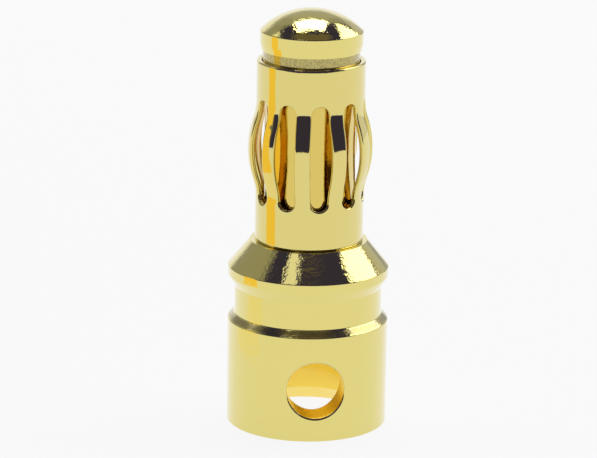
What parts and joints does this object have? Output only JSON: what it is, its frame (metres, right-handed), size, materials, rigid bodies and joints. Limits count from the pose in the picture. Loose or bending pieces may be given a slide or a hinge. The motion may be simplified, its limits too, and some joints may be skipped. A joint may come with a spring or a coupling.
{
  "type": "bullet connector contact",
  "caption": "Gold-plated male bullet contact: turned body with solder cup, side solder hole, housing groove and headed pin, which carries a slotted lantern spring sleeve.",
  "frame": {"origin": "centre of the solder cup's rim, on the plane that the contact stands on", "axes": "+Z along the contact's axis, from the solder cup to the domed head; -Y faces out of the solder hole"},
  "size_m": [0.0054, 0.0054, 0.0144],
  "materials": {
    "plated_body": "polished gold plate",
    "plated_spring": "polished gold plate"
  },
  "bodies": {
    "root": {"turned_body": "plated_body", "spring_sleeve": "plated_spring"}
  },
  "joints": []
}
